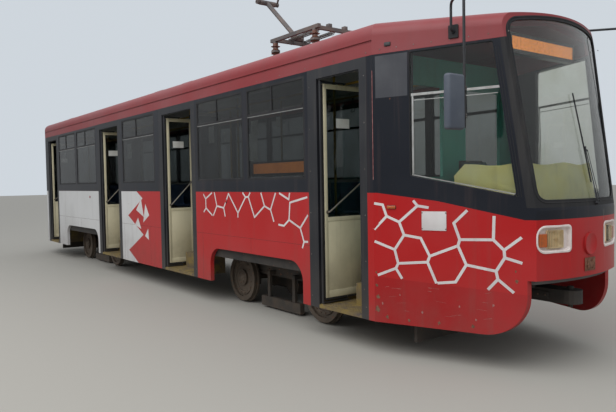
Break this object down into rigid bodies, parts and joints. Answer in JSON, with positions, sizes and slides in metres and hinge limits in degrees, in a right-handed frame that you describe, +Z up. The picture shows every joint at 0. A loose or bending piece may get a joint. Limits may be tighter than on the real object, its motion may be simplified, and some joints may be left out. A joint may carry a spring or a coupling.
{
  "type": "single-car tram",
  "caption": "Four-axle single-car tram with two bogies, inward-turning doors on one side, a driver's cab at one end and a raised single-arm pantograph.",
  "frame": {"origin": "midway between the bogie pivots, on the level that the wheel flanges stand on", "axes": "+X towards the cab, +Y to the left, +Z up"},
  "size_m": [15.392, 3.18, 5.807],
  "materials": {
    "black_paint": "dark door frame paint",
    "black_rubber": "window and door rubber",
    "bogie_paint": "dirty bogie steel",
    "box_paint": "grey equipment boxes",
    "clear_glass": "clear safety glass",
    "cream_paint": "cream door paint",
    "dash_plastic": "driver's console",
    "floor_sheet": "ribbed floor covering",
    "frame_steel": "dark underframe paint",
    "lamp": "white lamp bezel and lens",
    "lining": "pale interior lining",
    "mirror_shell": "grey mirror shell",
    "panto_paint": "pantograph tube paint",
    "red_paint": "gloss red body paint, worn",
    "seat_plastic": "moulded seat shell",
    "side_lamp": "amber side lamp",
    "sign_black": "blank destination sign",
    "step_sheet": "worn yellow step sheet",
    "strip_carbon": "contact strip",
    "tail_lamp": "red lamp lens",
    "tinted_glass": "dark tinted side glass",
    "wheel_steel": "rail wheel steel, rusty web",
    "yellow_rail": "yellow handrail enamel"
  },
  "bodies": {
    "car_body": {"underframe": "frame_steel", "floor": "floor_sheet", "right_wall": "red_paint", "left_wall": "red_paint", "roof": "red_paint", "ceiling": "lining", "cab_sides": "red_paint", "cab_side_glass": "clear_glass", "front_mask": "red_paint", "windshield_surround": "black_rubber", "windshield": "clear_glass", "rear_wall": "red_paint", "rear_glass": "tinted_glass", "window_frames": "black_rubber", "saloon_glass": "tinted_glass", "door_frames": "black_paint", "step_wells": "step_sheet", "seats": "seat_plastic", "handrails": "yellow_rail", "cab_partition": "lining", "driver_seat": "seat_plastic", "dashboard": "dash_plastic", "destination_signs": "sign_black", "headlamps": "lamp", "tail_lamps": "tail_lamp", "mirrors": "mirror_shell", "wiper": "black_paint", "mask_fittings": "red_paint", "side_lamps": "side_lamp", "couplers": "frame_steel", "life_guards": "frame_steel", "underfloor_boxes": "box_paint", "roof_boxes": "box_paint", "pantograph_base": "box_paint"},
    "front_bogie": {"front_bogie_frame": "bogie_paint", "front_bogie_motors": "bogie_paint", "front_rail_brakes": "bogie_paint"},
    "front_bogie_front_axle": {"front_bogie_front_axle": "wheel_steel"},
    "front_bogie_rear_axle": {"front_bogie_rear_axle": "wheel_steel"},
    "rear_bogie": {"rear_bogie_frame": "bogie_paint", "rear_bogie_motors": "bogie_paint", "rear_rail_brakes": "bogie_paint"},
    "rear_bogie_front_axle": {"rear_bogie_front_axle": "wheel_steel"},
    "rear_bogie_rear_axle": {"rear_bogie_rear_axle": "wheel_steel"},
    "door_1_post": {"door_1_post": "black_paint"},
    "door_1_leaf": {"door_1_leaf": "cream_paint"},
    "door_2_rear_post": {"door_2_rear_post": "black_paint"},
    "door_2_rear_leaf": {"door_2_rear_leaf": "cream_paint"},
    "door_2_front_post": {"door_2_front_post": "black_paint"},
    "door_2_front_leaf": {"door_2_front_leaf": "cream_paint"},
    "door_3_rear_post": {"door_3_rear_post": "black_paint"},
    "door_3_rear_leaf": {"door_3_rear_leaf": "cream_paint"},
    "door_3_front_post": {"door_3_front_post": "black_paint"},
    "door_3_front_leaf": {"door_3_front_leaf": "cream_paint"},
    "door_4_post": {"door_4_post": "black_paint"},
    "door_4_leaf": {"door_4_leaf": "cream_paint"},
    "pantograph_lower_arm": {"pantograph_lower_arm": "panto_paint"},
    "pantograph_upper_arm": {"pantograph_upper_arm": "panto_paint"},
    "pantograph_head": {"pantograph_head": "strip_carbon"}
  },
  "joints": [
    {"name": "front_bogie_pivot", "type": "hinge", "parent": "car_body", "child": "front_bogie", "pos_m": [3.675, 0, 0.65], "axis": [0, 0, 1], "range_deg": [-10, 10]},
    {"name": "front_bogie_front_axle_spin", "type": "hinge", "parent": "front_bogie", "child": "front_bogie_front_axle", "pos_m": [4.645, 0, 0.372], "axis": [0, 1, 0], "continuous": true},
    {"name": "front_bogie_rear_axle_spin", "type": "hinge", "parent": "front_bogie", "child": "front_bogie_rear_axle", "pos_m": [2.705, 0, 0.372], "axis": [0, 1, 0], "continuous": true},
    {"name": "rear_bogie_pivot", "type": "hinge", "parent": "car_body", "child": "rear_bogie", "pos_m": [-3.675, 0, 0.65], "axis": [0, 0, 1], "range_deg": [-10, 10]},
    {"name": "rear_bogie_front_axle_spin", "type": "hinge", "parent": "rear_bogie", "child": "rear_bogie_front_axle", "pos_m": [-2.705, 0, 0.372], "axis": [0, 1, 0], "continuous": true},
    {"name": "rear_bogie_rear_axle_spin", "type": "hinge", "parent": "rear_bogie", "child": "rear_bogie_rear_axle", "pos_m": [-4.645, 0, 0.372], "axis": [0, 1, 0], "continuous": true},
    {"name": "door_1_post_turn", "type": "hinge", "parent": "car_body", "child": "door_1_post", "pos_m": [5.167, -1.215, 1.6], "axis": [0, 0, -1], "range_deg": [0, 90]},
    {"name": "door_1_leaf_turn", "type": "hinge", "parent": "door_1_post", "child": "door_1_leaf", "pos_m": [5.167, -0.859, 1.6], "axis": [0, 0, -1], "range_deg": [-180, 0]},
    {"name": "door_2_rear_post_turn", "type": "hinge", "parent": "car_body", "child": "door_2_rear_post", "pos_m": [0.924, -1.215, 1.6], "axis": [0, 0, -1], "range_deg": [0, 90]},
    {"name": "door_2_rear_leaf_turn", "type": "hinge", "parent": "door_2_rear_post", "child": "door_2_rear_leaf", "pos_m": [0.924, -0.9505, 1.6], "axis": [0, 0, -1], "range_deg": [-180, 0]},
    {"name": "door_2_front_post_turn", "type": "hinge", "parent": "car_body", "child": "door_2_front_post", "pos_m": [1.946, -1.215, 1.6], "axis": [0, 0, 1], "range_deg": [0, 90]},
    {"name": "door_2_front_leaf_turn", "type": "hinge", "parent": "door_2_front_post", "child": "door_2_front_leaf", "pos_m": [1.946, -0.9505, 1.6], "axis": [0, 0, 1], "range_deg": [-180, 0]},
    {"name": "door_3_rear_post_turn", "type": "hinge", "parent": "car_body", "child": "door_3_rear_post", "pos_m": [-2.246, -1.215, 1.6], "axis": [0, 0, -1], "range_deg": [0, 90]},
    {"name": "door_3_rear_leaf_turn", "type": "hinge", "parent": "door_3_rear_post", "child": "door_3_rear_leaf", "pos_m": [-2.246, -0.9555, 1.6], "axis": [0, 0, -1], "range_deg": [-180, 0]},
    {"name": "door_3_front_post_turn", "type": "hinge", "parent": "car_body", "child": "door_3_front_post", "pos_m": [-1.244, -1.215, 1.6], "axis": [0, 0, 1], "range_deg": [0, 90]},
    {"name": "door_3_front_leaf_turn", "type": "hinge", "parent": "door_3_front_post", "child": "door_3_front_leaf", "pos_m": [-1.244, -0.9555, 1.6], "axis": [0, 0, 1], "range_deg": [-180, 0]},
    {"name": "door_4_post_turn", "type": "hinge", "parent": "car_body", "child": "door_4_post", "pos_m": [-6.272, -1.215, 1.6], "axis": [0, 0, -1], "range_deg": [0, 90]},
    {"name": "door_4_leaf_turn", "type": "hinge", "parent": "door_4_post", "child": "door_4_leaf", "pos_m": [-6.272, -0.852, 1.6], "axis": [0, 0, -1], "range_deg": [-180, 0]},
    {"name": "pantograph_foot", "type": "hinge", "parent": "car_body", "child": "pantograph_lower_arm", "pos_m": [3.1, 0, 3.952], "axis": [0, -1, 0], "range_deg": [0, 38]},
    {"name": "pantograph_knee", "type": "hinge", "parent": "pantograph_lower_arm", "child": "pantograph_upper_arm", "pos_m": [2.3, 0, 4.672], "axis": [0, 1, 0], "range_deg": [0, 88]},
    {"name": "pantograph_head_tilt", "type": "hinge", "parent": "pantograph_upper_arm", "child": "pantograph_head", "pos_m": [3.1, 0, 5.742], "axis": [0, -1, 0], "range_deg": [0, 50]}
  ],
  "couplings": [
    {"joint": "door_1_leaf_turn", "follows": "door_1_post_turn", "ratio": -2},
    {"joint": "door_2_rear_leaf_turn", "follows": "door_2_rear_post_turn", "ratio": -2},
    {"joint": "door_2_front_leaf_turn", "follows": "door_2_front_post_turn", "ratio": -2},
    {"joint": "door_3_rear_leaf_turn", "follows": "door_3_rear_post_turn", "ratio": -2},
    {"joint": "door_3_front_leaf_turn", "follows": "door_3_front_post_turn", "ratio": -2},
    {"joint": "door_4_leaf_turn", "follows": "door_4_post_turn", "ratio": -2},
    {"joint": "pantograph_knee", "follows": "pantograph_foot", "ratio": 2.3158},
    {"joint": "pantograph_head_tilt", "follows": "pantograph_foot", "ratio": 1.3158}
  ]
}
